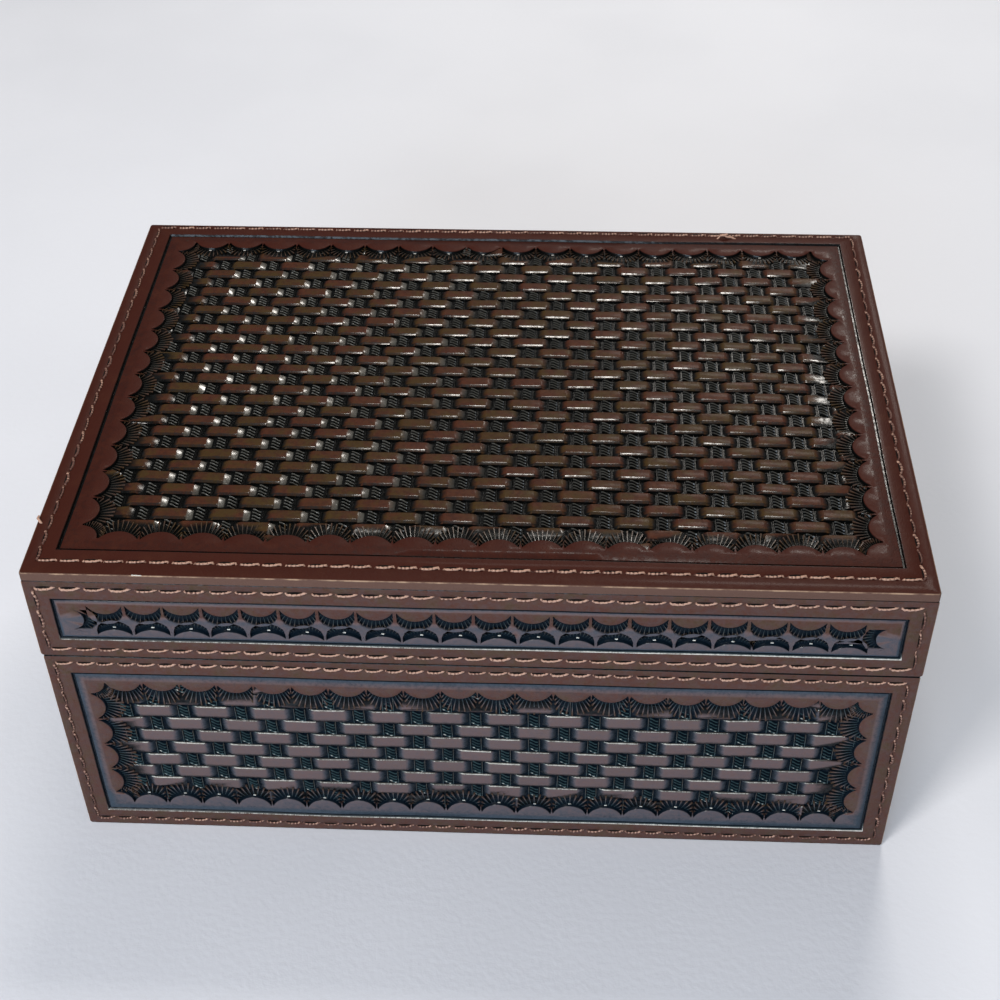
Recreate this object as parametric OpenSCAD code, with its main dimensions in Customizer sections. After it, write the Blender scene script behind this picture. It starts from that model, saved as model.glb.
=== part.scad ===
/* [Box] */
// Width of the closed lid over its leather
box_w = 254; // [220:1:300]
// Depth of the closed lid over its leather
box_d = 181; // [150:1:220]
// Height from the table to the top of the lid
box_h = 112; // [106:1:140]
// Height of the base's rim above the table
rim_h = 78.5; // [70:0.5:82]
// How far each side of the base stands in from the lid's
base_inset = 0.35; // [0.2:0.05:1.2]
// Gap between the closed rims
rim_gap = 0.4; // [0.3:0.1:0.8]

/* [Boards] */
// Thickness of the wall boards
wall_t = 6; // [5:0.5:9]
// Thickness of the bottom board
floor_t = 5; // [4:0.5:8]
// Thickness of the lid's top board
top_t = 5; // [4:0.5:8]
// Depth of the rabbet that takes each side board's end
rabbet = 2; // [1:0.5:4]
// Thickness of the suede lining
lining_t = 1.2; // [0.8:0.1:2]

/* [Leather] */
// Thickness of a tooled panel
leather_t = 2.8; // [2.4:0.1:3.6]
// Thickness of the plain leather under the base
sole_t = 1.6; // [1.2:0.1:2.4]
// Radius of a panel's corners
corner_r = 0.9; // [0.5:0.1:2]
// Depth of the tooled ground below a panel's face
relief = 1; // [0.6:0.1:1.4]

/* [Stitching] */
// Width of the stitch channel and of the thread in it
thread_w = 0.8; // [0.5:0.1:1.2]
// Depth of the stitch channel
thread_sink = 0.5; // [0.3:0.1:0.8]
// From the top panel's edge to the middle of its stitching
top_stitch_inset = 4; // [3:0.1:5]
// From a wall panel's edge to the middle of its stitching
wall_stitch_inset = 3; // [2.5:0.1:4]

/* [Tooled lines] */
// Width of the cut line that frames the tooling
line_w = 0.9; // [0.6:0.1:1.5]
// Depth of that line
line_depth = 0.6; // [0.3:0.1:0.9]
// From the top panel's edge to its line
top_line_inset = 8.2; // [6.5:0.1:10]
// From a wall panel's edge to its line
wall_line_inset = 7; // [5.5:0.1:8]
// How far the top's tooling sits behind the panel's middle
top_shift = 1.8; // [0:0.1:2.2]

/* [Shell border] */
// From the top panel's edge to the shells' points
top_field_inset = 13.3; // [12:0.1:18]
// From a base panel's edge to the shells' points
base_field_inset = 11.2; // [9.5:0.1:16]
// From a lid wall panel's edge to the shells' points
lid_field_inset = 9.2; // [8.5:0.1:10]
// From a lid wall panel's end to the points of its end shell
lid_end_inset = 12; // [9:0.1:16]
// How far the plain leather cuts each corner of a lid wall's field, along the wall
lid_corner_l = 5.2; // [3:0.1:8]
// The same, up the wall
lid_corner_h = 1.7; // [0.8:0.1:3]
// Distance from one shell to the next on the top
top_shell_pitch = 11.8; // [9:0.1:14]
// Distance from one shell to the next on the walls
wall_shell_pitch = 10.8; // [9:0.1:14]
// How far the plain edge bulges into a shell
shell_rise = 3.4; // [2:0.1:4]
// From the shells' points to the first strand of the weave
shell_reach = 7.6; // [6:0.1:10]

/* [Basketweave] */
// Distance between rows of bars
row_pitch = 5.5; // [5:0.1:7]
// Distance between bars in one row
bar_pitch = 16.8; // [14:0.1:20]
// Length of a bar
bar_l = 11; // [8:0.1:12]
// Width of a bar
bar_w = 4.2; // [3.5:0.1:4.6]
// Height of a bar's crown over its edges
bar_crown = 0.35; // [0.2:0.05:0.5]

/* [Hinges] */
// Length of a hinge
hinge_l = 38; // [30:1:50]
// From each end of the box to the nearer end of a hinge
hinge_margin = 36; // [20:1:50]
// Thickness of a leaf
leaf_t = 1; // [0.8:0.1:1.4]
// Radius of the knuckles
knuckle_r = 2.5; // [2.2:0.1:3.2]
// Radius of the hinge pin
pin_r = 1.1; // [0.8:0.05:1.3]
// Play between the pin and the lid's knuckles, all round
pin_play = 0.05; // [0.02:0.01:0.09]
// Gap beside and round each knuckle
knuckle_gap = 0.4; // [0.3:0.05:0.6]
// Angle at which the stops of the two leaves meet
stop_angle = 102; // [95:1:110]
// How far a stop reaches from the hinge axis
stop_reach = 5.4; // [4.6:0.1:7]
// Radius of a screw's shank
screw_r = 1; // [0.7:0.1:1.2]
// Length of a screw
screw_l = 9; // [6:0.5:12]

/* [Hidden] */
$fn = 48;
// A cut runs this far past the face it opens
over = 1;

// Rims, and the height of the walls that stand between them and the top
rim_top = rim_h + rim_gap;
lid_top_z = box_h - leather_t;
lid_board_z = lid_top_z - top_t;
lid_lining_z = lid_board_z - lining_t;
floor_z = sole_t + floor_t;
floor_lining_z = floor_z + lining_t;

// Outer width and depth of each layer of the base and of the lid
base_leather = [box_w - 2 * base_inset, box_d - 2 * base_inset];
base_boards = base_leather - 2 * [leather_t, leather_t];
base_suede = base_boards - 2 * [wall_t, wall_t];
lid_leather = [box_w, box_d];
lid_boards = lid_leather - 2 * [leather_t, leather_t];
lid_suede = lid_boards - 2 * [wall_t, wall_t];

// The hinge axis lies behind the lid's rear leather, level with the middle of the gap
hinge_out = knuckle_r + knuckle_gap;
hinge_x = box_w / 2 - hinge_margin - hinge_l / 2;
mid_y = -(hinge_out + knuckle_r) / 2;
axis_y = mid_y + box_d / 2 + hinge_out;
axis_z = rim_h + rim_gap / 2;
knuckles = 5;
knuckle_l = (hinge_l - (knuckles - 1) * knuckle_gap) / knuckles;
knuckle_step = knuckle_l + knuckle_gap;
leaf_edge = 0.5;
leaf_w = hinge_out + leather_t + wall_t - leaf_edge;
pin_head_r = pin_r + 0.6;
pin_head_t = 0.6;
stop_back = 1.5;

// Screws stand in the middle of the rear board
screw_y = -(hinge_out + leather_t + wall_t / 2);
screw_x = hinge_l / 3;
screw_head_r = screw_r + leaf_t;
screw_tip = 1.5 * screw_r;
slot_w = 0.45;
slot_depth = 0.4;

// Share of its pitch that each shell's bulge spans, and the radius of a corner bulge
bulge_share = 0.94;
corner_share = 0.45;

leather_colour = [0.29, 0.17, 0.14];
wood_colour = [0.72, 0.56, 0.38];
suede_colour = [0.36, 0.25, 0.19];
brass_colour = [0.75, 0.6, 0.3];
thread_colour = [0.78, 0.63, 0.55];

// Where a wall sheet goes: its outer face lies at z = 0 and its foot along y = 0
module on_wall(side, size, foot_z) {
    turn = side == "front" ? 0 : side == "right" ? 90 : side == "back" ? 180 : 270;
    reach = (turn % 180 == 0 ? size[1] : size[0]) / 2;
    translate([0, mid_y, foot_z])
        rotate([0, 0, turn])
            translate([0, -reach, 0])
                rotate([90, 0, 0])
                    children();
}

// Front and back sheets run the full width, and side sheets fit between them
function runs_through(side) = side == "front" || side == "back";
function wall_w(side, size, t) = runs_through(side) ? size[0] : size[1] - 2 * t;

// Flat outlines
module rounded_rect(w, h, r) {
    square([w - 2 * r, h], center = true);
    square([w, h - 2 * r], center = true);
    for (x = [-1, 1], y = [-1, 1])
        translate([x * (w / 2 - r), y * (h / 2 - r)])
            circle(r);
}

module frame_line(w, h, inset, line) {
    outer = 2 * inset - line;
    inner = 2 * inset + line;
    difference() {
        square([w - outer, h - outer], center = true);
        square([w - inner, h - inner], center = true);
    }
}

// A row of round bulges along one edge of the tooled ground, below y = 0
module bulge_row(edge_l, about, skip) {
    span = edge_l - 2 * skip;
    count = max(1, round(span / about));
    pitch = span / count;
    chord = bulge_share * pitch;
    r = (chord * chord / 4 + shell_rise * shell_rise) / (2 * shell_rise);
    for (i = [0 : count - 1])
        translate([(i - (count - 1) / 2) * pitch, shell_rise - r])
            circle(r);
}

// Plain leather across the upper right corner of the ground, out to past its edges
module corner_cut(skip) {
    polygon([[over, over], [-skip[0], over], [-skip[0], 0], [0, -skip[1]], [over, -skip[1]]]);
}

// The tooled ground: a rectangle whose edge is bitten by one bulge per shell
module shell_ground(size, about, skip, woven) {
    difference() {
        square(size, center = true);
        for (turn = [0, 180]) {
            rotate(turn)
                translate([0, -size[1] / 2])
                    bulge_row(size[0], about, skip[0]);
            rotate(turn + 90)
                translate([0, -size[0] / 2])
                    bulge_row(size[1], about, skip[1]);
        }
        for (x = [0, 1], y = [0, 1])
            mirror([x, 0])
                mirror([0, y])
                    translate(size / 2)
                        if (woven) circle(skip[0]);
                        else corner_cut(skip);
    }
}

// One bar of the weave, lying along x on the ground, with a crowned top
module weave_bar() {
    crown_r = (bar_w * bar_w / 4 + bar_crown * bar_crown) / (2 * bar_crown);
    rotate([90, 0, 90])
        linear_extrude(bar_l, center = true)
            intersection() {
                translate([-bar_w / 2, 0])
                    square([bar_w, relief]);
                translate([0, relief - crown_r])
                    circle(crown_r, $fn = 360);
            }
}

// Rows of bars, each row half a bar pitch along from the last
module basketweave(w, h) {
    rows = floor(h / row_pitch);
    bars = floor((w - bar_l) / bar_pitch) + 1;
    for (row = [0 : rows - 1]) {
        in_row = bars - row % 2;
        for (i = [0 : in_row - 1])
            translate([(i - (in_row - 1) / 2) * bar_pitch, (row - (rows - 1) / 2) * row_pitch])
                weave_bar();
    }
}

// A tooled panel, centred, with its outer face at z = 0
module tooled_panel(w, h, stitch_inset, line_inset, field_inset, shells, woven, shift = 0) {
    ground = [w, h] - 2 * field_inset;
    skip = woven ? corner_share * [shells, shells] : [lid_corner_l, lid_corner_h];
    color(leather_colour) {
        difference() {
            translate([0, 0, -leather_t])
                linear_extrude(leather_t)
                    rounded_rect(w, h, corner_r);
            translate([0, shift, -thread_sink])
                linear_extrude(thread_sink + over)
                    frame_line(w, h, stitch_inset, thread_w);
            translate([0, shift, -line_depth])
                linear_extrude(line_depth + over)
                    frame_line(w, h, line_inset, line_w);
            translate([0, shift, -relief])
                linear_extrude(relief + over)
                    shell_ground(ground, shells, skip, woven);
        }
        if (woven)
            translate([0, shift, -relief])
                basketweave(ground[0] - 2 * shell_reach, ground[1] - 2 * shell_reach);
    }
}

// The thread of one panel, flush in its channel
module stitching(w, h, inset, shift = 0) {
    color(thread_colour)
        translate([0, shift, -thread_sink])
            linear_extrude(thread_sink)
                frame_line(w, h, inset, thread_w);
}

// Room for both hinge leaves in a rim, from the given height up
module leaf_mortises(foot_z) {
    for (x = [-1, 1])
        translate([x * hinge_x - hinge_l / 2, axis_y - leaf_w, foot_z])
            cube([hinge_l, leaf_w, leaf_t]);
}

// Screws of both hinges: heads level with z = 0, points down
module screw_body() {
    rotate_extrude()
        polygon([
            [0, 0], [screw_head_r, 0], [screw_r, -leaf_t],
            [screw_r, -(screw_l - screw_tip)], [0, -screw_l]
        ]);
}

module screw_places() {
    for (hinge = [-1, 1], screw = [-1, 0, 1])
        translate([hinge * hinge_x + screw * screw_x, axis_y + screw_y])
            children();
}

module hinge_screws() {
    color(brass_colour)
        screw_places()
            difference() {
                screw_body();
                translate([-screw_head_r, -slot_w / 2, -slot_depth])
                    cube([2 * screw_head_r, slot_w, slot_depth + over]);
            }
}

// Carcass boards
module wall_board(side, size, foot_z, h) {
    color(wood_colour)
        on_wall(side, size, foot_z)
            if (runs_through(side)) {
                difference() {
                    translate([-size[0] / 2, 0, -wall_t])
                        cube([size[0], h, wall_t]);
                    for (x = [-1, 1])
                        translate([x * size[0] / 2 - wall_t, -over, -wall_t - over])
                            cube([2 * wall_t, h + 2 * over, rabbet + over]);
                }
            } else {
                side_l = size[1] - 2 * wall_t + 2 * rabbet;
                translate([-side_l / 2, 0, -wall_t])
                    cube([side_l, h, wall_t]);
            }
}

module base_board(side) {
    difference() {
        wall_board(side, base_boards, sole_t, rim_h - sole_t);
        if (side == "back") {
            leaf_mortises(rim_h - leaf_t);
            translate([0, 0, rim_h])
                screw_places()
                    screw_body();
        }
    }
}

module lid_board(side) {
    difference() {
        wall_board(side, lid_boards, rim_top, lid_board_z - rim_top);
        if (side == "back") {
            leaf_mortises(rim_top);
            translate([0, 0, rim_top])
                mirror([0, 0, 1])
                    screw_places()
                        screw_body();
        }
    }
}

module flat_sheet(size, foot_z, t) {
    translate([-size[0] / 2, mid_y - size[1] / 2, foot_z])
        cube([size[0], size[1], t]);
}

// Leather and thread of the walls
module base_panel(side) {
    w = wall_w(side, base_leather, leather_t);
    difference() {
        on_wall(side, base_leather, 0)
            translate([0, rim_h / 2])
                tooled_panel(
                    w, rim_h, wall_stitch_inset, wall_line_inset,
                    [base_field_inset, base_field_inset], wall_shell_pitch, true
                );
        if (side == "back")
            leaf_mortises(rim_h - leaf_t);
    }
}

module lid_panel(side) {
    w = wall_w(side, lid_leather, leather_t);
    h = lid_top_z - rim_top;
    difference() {
        on_wall(side, lid_leather, rim_top)
            translate([0, h / 2])
                tooled_panel(
                    w, h, wall_stitch_inset, wall_line_inset,
                    [lid_end_inset, lid_field_inset], wall_shell_pitch, false
                );
        if (side == "back")
            leaf_mortises(rim_top);
    }
}

module base_stitches(side) {
    on_wall(side, base_leather, 0)
        translate([0, rim_h / 2])
            stitching(wall_w(side, base_leather, leather_t), rim_h, wall_stitch_inset);
}

module lid_stitches(side) {
    h = lid_top_z - rim_top;
    on_wall(side, lid_leather, rim_top)
        translate([0, h / 2])
            stitching(wall_w(side, lid_leather, leather_t), h, wall_stitch_inset);
}

module lid_top_panel() {
    translate([0, mid_y, box_h])
        tooled_panel(
            box_w, box_d, top_stitch_inset, top_line_inset,
            [top_field_inset, top_field_inset], top_shell_pitch, true, top_shift
        );
}

module lid_top_stitches() {
    translate([0, mid_y, box_h])
        stitching(box_w, box_d, top_stitch_inset, top_shift);
}

// Suede lining
module wall_lining(side, size, foot_z, h) {
    w = wall_w(side, size, lining_t);
    color(suede_colour)
        on_wall(side, size, foot_z)
            translate([-w / 2, 0, -lining_t])
                cube([w, h, lining_t]);
}

// Hinge leaves: cut across the axis, as the base's leaf lies, with the box towards -y
module leaf_section() {
    translate([-leaf_w, -rim_gap / 2 - leaf_t])
        square([leaf_w, leaf_t]);
    stop_section();
}

// The stop's meeting face slopes down and back from the axis by half the stop angle
module stop_section() {
    meet_z = -knuckle_r * tan(stop_angle / 2);
    polygon([
        [0, 0], [knuckle_r, meet_z], [knuckle_r, -stop_reach],
        [-stop_back, -stop_reach], [-stop_back, 0]
    ]);
}

// A leaf is a row of stretches: its own knuckles, and hollows round the other leaf's
module knuckle_stretch(i, bore_r) {
    translate([i * knuckle_step - hinge_l / 2, 0, 0])
        rotate([90, 0, 90])
            linear_extrude(knuckle_l)
                difference() {
                    union() {
                        leaf_section();
                        circle(knuckle_r);
                    }
                    circle(bore_r);
                }
}

module hollow_stretch(i) {
    start = i == 0 ? 0 : i * knuckle_step - knuckle_gap;
    end = i == knuckles - 1 ? hinge_l : (i + 1) * knuckle_step;
    translate([start - hinge_l / 2, 0, 0])
        rotate([90, 0, 90])
            linear_extrude(end - start)
                difference() {
                    leaf_section();
                    circle(knuckle_r + knuckle_gap);
                }
}

module hinge_leaf(first, bore_r) {
    color(brass_colour)
        difference() {
            union()
                for (i = [0 : knuckles - 1])
                    if (i % 2 == first)
                        knuckle_stretch(i, bore_r);
                    else
                        hollow_stretch(i);
            for (screw = [-1, 0, 1])
                translate([screw * screw_x, screw_y, -rim_gap / 2])
                    screw_body();
        }
}

module on_hinge(side) {
    translate([side * hinge_x, axis_y, axis_z])
        children();
}

module base_leaf(side) {
    on_hinge(side)
        hinge_leaf(0, pin_r);
}

module lid_leaf(side) {
    on_hinge(side)
        mirror([0, 0, 1])
            hinge_leaf(1, pin_r + pin_play);
}

module hinge_pin(side) {
    color(brass_colour)
        on_hinge(side)
            rotate([0, 90, 0]) {
                cylinder(h = hinge_l, r = pin_r, center = true);
                for (end = [-1, 1])
                    translate([0, 0, end * (hinge_l + pin_head_t) / 2])
                        cylinder(h = pin_head_t, r = pin_head_r, center = true);
            }
}

module bottom_cover() {
    color(leather_colour)
        flat_sheet(base_boards, 0, sole_t);
}

module bottom_board() {
    color(wood_colour)
        flat_sheet(base_suede, sole_t, floor_t);
}

module floor_lining() {
    color(suede_colour)
        flat_sheet(base_suede, floor_z, lining_t);
}

module top_board() {
    color(wood_colour)
        flat_sheet(lid_boards, lid_board_z, top_t);
}

module top_lining() {
    color(suede_colour)
        flat_sheet(lid_suede, lid_lining_z, lining_t);
}

module base_lining(side) {
    wall_lining(side, base_suede, floor_lining_z, rim_h - floor_lining_z);
}

module lid_lining(side) {
    wall_lining(side, lid_suede, rim_top, lid_lining_z - rim_top);
}

module base_screws() {
    translate([0, 0, rim_h])
        hinge_screws();
}

module lid_screws() {
    translate([0, 0, rim_top])
        mirror([0, 0, 1])
            hinge_screws();
}

bottom_cover();  // base_bottom_cover
bottom_board();  // base_bottom_board
base_board("front");  // base_front_board
base_board("back");  // base_back_board
base_board("left");  // base_left_board
base_board("right");  // base_right_board
base_panel("front");  // base_front_leather
base_panel("back");  // base_back_leather
base_panel("left");  // base_left_leather
base_panel("right");  // base_right_leather
base_stitches("front");  // base_front_stitching
base_stitches("back");  // base_back_stitching
base_stitches("left");  // base_left_stitching
base_stitches("right");  // base_right_stitching
floor_lining();  // base_floor_lining
base_lining("front");  // base_front_lining
base_lining("back");  // base_back_lining
base_lining("left");  // base_left_lining
base_lining("right");  // base_right_lining
base_leaf(-1);  // left_hinge_base_leaf
base_leaf(1);  // right_hinge_base_leaf
hinge_pin(-1);  // left_hinge_pin
hinge_pin(1);  // right_hinge_pin
base_screws();  // base_hinge_screws
top_board();  // lid_top_board
lid_board("front");  // lid_front_board
lid_board("back");  // lid_back_board
lid_board("left");  // lid_left_board
lid_board("right");  // lid_right_board
lid_top_panel();  // lid_top_leather
lid_panel("front");  // lid_front_leather
lid_panel("back");  // lid_back_leather
lid_panel("left");  // lid_left_leather
lid_panel("right");  // lid_right_leather
lid_top_stitches();  // lid_top_stitching
lid_stitches("front");  // lid_front_stitching
lid_stitches("back");  // lid_back_stitching
lid_stitches("left");  // lid_left_stitching
lid_stitches("right");  // lid_right_stitching
top_lining();  // lid_top_lining
lid_lining("front");  // lid_front_lining
lid_lining("back");  // lid_back_lining
lid_lining("left");  // lid_left_lining
lid_lining("right");  // lid_right_lining
lid_leaf(-1);  // left_hinge_lid_leaf
lid_leaf(1);  // right_hinge_lid_leaf
lid_screws();  // lid_hinge_screws
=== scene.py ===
"""A stationery box in tooled leather: stitched panels with a shell border and a basketweave.

Lengths are in metres. A panel is drawn flat, with x to its right, y up and z outward from
the middle of its face, and then set where the frame has it.
"""
import math
import random

import bmesh
import bpy
from mathutils import Matrix, Vector, noise


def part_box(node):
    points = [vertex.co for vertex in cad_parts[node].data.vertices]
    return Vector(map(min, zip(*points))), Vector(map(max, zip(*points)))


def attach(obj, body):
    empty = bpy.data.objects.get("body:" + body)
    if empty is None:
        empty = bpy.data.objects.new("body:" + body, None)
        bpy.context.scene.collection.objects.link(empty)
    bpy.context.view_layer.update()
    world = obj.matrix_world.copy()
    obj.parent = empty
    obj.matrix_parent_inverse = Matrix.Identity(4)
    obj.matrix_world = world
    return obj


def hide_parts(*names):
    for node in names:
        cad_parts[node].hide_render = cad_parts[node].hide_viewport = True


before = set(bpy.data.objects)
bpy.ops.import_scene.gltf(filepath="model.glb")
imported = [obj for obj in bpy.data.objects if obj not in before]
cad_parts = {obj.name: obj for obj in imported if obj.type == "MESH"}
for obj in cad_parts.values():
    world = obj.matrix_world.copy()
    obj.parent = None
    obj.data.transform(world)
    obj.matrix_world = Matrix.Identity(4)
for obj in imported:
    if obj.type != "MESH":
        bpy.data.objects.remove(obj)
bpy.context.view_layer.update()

MM = 0.001
rng = random.Random(11)
noise.seed_set(11)

# Leather: its thickness, the rounding of its edges, and how deep the ground and the stamps go
LEATHER_T = 2.8 * MM
CORNER_R = 0.9 * MM
RIM_R = 0.3 * MM
RELIEF = 1.0 * MM
SUNK = 1.45 * MM
RIDGE_FOOT = 1.25 * MM

# How far a hand-held tool drifts, over what length, and how fine the sheet is to follow it
HAND_WANDER = 0.35 * MM
WANDER_SPAN = 45 * MM
WANDER_HOLD = 2 * MM
OUTLINE_STEP = 6 * MM

# A hinge leaf's notch in a rim: its height, and the depth that is cut
NOTCH_H = 5 * MM
NOTCH_CUT = 30 * MM

# Stitch channel and the bevelled line inside it, with the ramp that rises from the line
CHANNEL_W = 1.5 * MM
CHANNEL_WALL = 0.35 * CHANNEL_W
CHANNEL_BED = 0.3 * CHANNEL_W
CHANNEL_DEPTH = 0.35 * MM
LINE_LIP = 0.35 * MM
LINE_FLOOR = 0.45 * MM
LINE_SHOULDER = 0.3 * MM
LINE_DEPTH = 0.65 * MM
LINE_RAMP = 2.6 * MM
RAMP_FOOT = 0.15 * MM
RAMP_LOW = 0.4 * MM
RAMP_CLEAR = 0.45 * MM

# Shell stamps: shares of their pitch, the tongue between two, and the ribs of one fan
BULGE_SHARE = 0.93
CORNER_SHARE = 0.45
CORNER_REACH = 0.6
CORNER_ROOM = 0.9
ARC_STEPS = 10
TONGUE = 1.9 * MM
FLUTES = 15
FLUTE_GAP = 0.4 * MM
SHORTEST_FLUTE = 0.9 * MM

# Weave stamps: each strap's places along and across it, with their depths in millimetres
BAR_SKIRT = -1.15
BAR_UNDER = -1.3
BAR_ALONG = ((-1, BAR_SKIRT), (-0.92, -0.76), (-0.7, -0.18), (-0.65, -0.05), (-0.6, 0),
             (0.6, 0), (0.65, -0.05), (0.7, -0.18), (0.92, -0.76), (1, BAR_SKIRT))
BAR_ACROSS = ((-1, BAR_SKIRT), (-0.97, -0.34), (-0.64, -0.06), (-0.5, 0), (0.74, 0),
              (0.88, -0.09), (0.96, -0.34), (1, BAR_SKIRT))
BAR_FILL = 0.85
ROPE_W = 3.7 * MM
ROPE_EDGE = 1.62 * MM
ROPE_LINE = 0.15 * MM
ROPE_CORE = 1.25 * MM
ROPE_STRAND = 0.42 * MM
ROPE_CROWN = 0.55 * MM
ROPE_RIDGES = 4
ROPE_LEAN = 0.62 * MM

# Thread
STITCH_PITCH = 6.4 * MM
THREAD_R = 0.42 * MM
THREAD_SIDES = 6
STRAND_FLAT = 0.6
STRAND_TWIST = math.radians(68)
BEAD = 1.15 * MM
# The mark of the dark lens by each stitch: the awl's slit with the thread's painted shadow
SLIT_AND_SHADOW_MARK = 2.0
UPRIGHT_SLIT = 0.55
STITCH_PATH = (
    (0.35, 0.12, -0.55), (0.45, 0.05, -0.15), (0.7, -0.1, 0.08), (1.1, -0.2, 0.15),
    (1.55, -0.26, 0.17), (2.0, -0.28, 0.17), (2.45, -0.27, 0.17), (2.9, -0.24, 0.17),
    (3.35, -0.2, 0.17), (3.8, -0.12, 0.17), (4.25, -0.02, 0.17), (4.7, 0.14, 0.16),
    (5.1, 0.32, 0.12), (5.45, 0.4, 0.0), (5.7, 0.32, -0.2), (5.8, 0.25, -0.55),
)

# Wear on the top, in millimetres: two loose ends of thread and a nick
KNOTS = (
    ((76, 86.3, -0.3), (77, 87.2, 0.7), (78.4, 86.5, 1.4), (79.5, 87.5, 1.2), (78.7, 88.2, 0.6),
     (77.8, 87.2, 1.2), (79.2, 86.3, 0.9), (81, 87, 0.3), (82.4, 86.6, -0.3)),
    ((-125.6, -69.8, -0.3), (-126.4, -69.2, 0.8), (-127, -68.4, 0.7), (-126.8, -67.2, 0.4)),
)
NICK = ((-95.2, -90.2, 0), (-92.4, -90.3, 0))

# A painted highlight on the top's strap ends and strands grows over this span, leftwards from here
GLARE_FROM = 30 * MM
GLARE_SPAN = 80 * MM

# Dye runs from 0, bare, to 1, black; past 1 the leather is pressed so deep that it lies dull
PRESSED = 1.3

# Polish runs from 0 to 1, crests partly worn and partly given a painted highlight; past 1 it is a
# painted highlight, and at the nick a pale scratch
WALL_HIGHLIGHT = (1.45, 1.9)
SEED_HIGHLIGHT = 1.75
STRAND_HIGHLIGHT = 1.8
NICK_GLEAM = 1.8
TOP_GLARE = 1.22

# Colours
OCHRE = (0.049, 0.028, 0.009)
OXBLOOD = (0.066, 0.021, 0.011)
# Mauve is a painted cool reflection on the faces of the walls
MAUVE_REFLECTION = (0.15, 0.102, 0.1)
CORDOVAN = (0.045, 0.011, 0.007)
UMBER = (0.034, 0.013, 0.009)
INK = (0.0022, 0.0025, 0.0025)
# Slate and navy are the painted cool reflection by the lines and in the walls' recesses
SLATE_REFLECTION = (0.036, 0.06, 0.082)
NAVY_REFLECTION = (0.003, 0.007, 0.012)
# Crests are lighter, partly from wear and partly as a painted highlight; teal is that painted
# highlight in the walls' cool reflection
POLISH_AND_HIGHLIGHT = (0.1, 0.095, 0.08)
TEAL_REFLECTION = (0.06, 0.115, 0.125)
RAW_EDGE = (0.125, 0.072, 0.055)
TAN = (0.5, 0.34, 0.22)
# A painted highlight, which also colours the pale scratch of the nick
PAINTED_HIGHLIGHT_AND_NICK = (0.74, 0.72, 0.66)
THREAD_PALE = (0.46, 0.275, 0.2)
# Thread darkened by soil and by painted shade
THREAD_SOILED_AND_SHADED = (0.1, 0.045, 0.034)
# The slit with the thread's painted shadow
SLIT_AND_SHADOW = (0.004, 0.002, 0.0015)
BIRCH = (0.62, 0.42, 0.24)
BIRCH_DARK = (0.36, 0.21, 0.1)
SUEDE_LIGHT = (0.2, 0.11, 0.065)
SUEDE_DARK = (0.1, 0.05, 0.03)
BRASS = (0.78, 0.57, 0.25)
BRASS_DULL = (0.36, 0.22, 0.08)
FLOOR = (0.74, 0.76, 0.815)
FLOOR_SHADE = (0.71, 0.73, 0.785)

# Where the boards' rims meet, and how far below and above it they are dyed
RIM_Z = 78.5 * MM
RIM_DYE_FROM = (-3.0 * MM, -1.3 * MM)
RIM_DYE_TO = (1.6 * MM, 3.5 * MM)

# Camera, with its focal length in pixels of a picture this wide
CAMERA_PLACE = Vector((0.0244, -0.4133, 0.4255))
CAMERA_PITCH = math.radians(41.3946)
CAMERA_ROLL = math.radians(1.2107)
CAMERA_YAW = math.radians(-2.2978)
CAMERA_F = 1633.8
PICTURE_W = 1000
SENSOR_W = 36

# Light: each lamp's place, aim, width, height, power and colour
WARM = (1, 0.95, 0.88)
LAMPS = {
    "rear_lamp": ((0.3, 1.1, 0.95), (0, 0, 0.1), 0.35, 0.2, 8, WARM),
    "ceiling_lamp": ((0.02, 0.51, 1.2), (0, 0, 0.1), 0.28, 0.12, 3.2, WARM),
    "front_lamp": ((-0.5, -0.75, 1.2), (0, 0, 0.05), 0.3, 0.3, 11, (1, 0.95, 0.9)),
    "front_window": ((-0.3, -1.6, 0.5), (0, 0, 0.06), 0.9, 0.9, 20, (0.7, 0.84, 1)),
}
ROOM = (0.93, 0.95, 1, 1)
ROOM_LIGHT = 0.19
FLOOR_HALF = 3


def clamp(value):
    return min(max(value, 0), 1)


def blend(pair, share):
    return pair[0] + (pair[1] - pair[0]) * share


def ray(angle):
    """The flat direction at this angle from x."""
    return Vector((math.cos(angle), math.sin(angle), 0))


def neighbours(ring):
    """Each thing in a ring with the one after it."""
    return zip(ring, ring[1:] + ring[:1])


def sized(size, middle):
    """Turns a unit shape into one of this size about this middle."""
    return Matrix.Translation(middle) @ Matrix.Diagonal((*size, 1))


def mesh_of(name, shape):
    """The finished mesh of a bmesh, which is freed."""
    mesh = bpy.data.meshes.new(name)
    shape.to_mesh(mesh)
    shape.free()
    return mesh


def show(name, data):
    """A new object in the scene."""
    thing = bpy.data.objects.new(name, data)
    bpy.context.scene.collection.objects.link(thing)
    return thing


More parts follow.
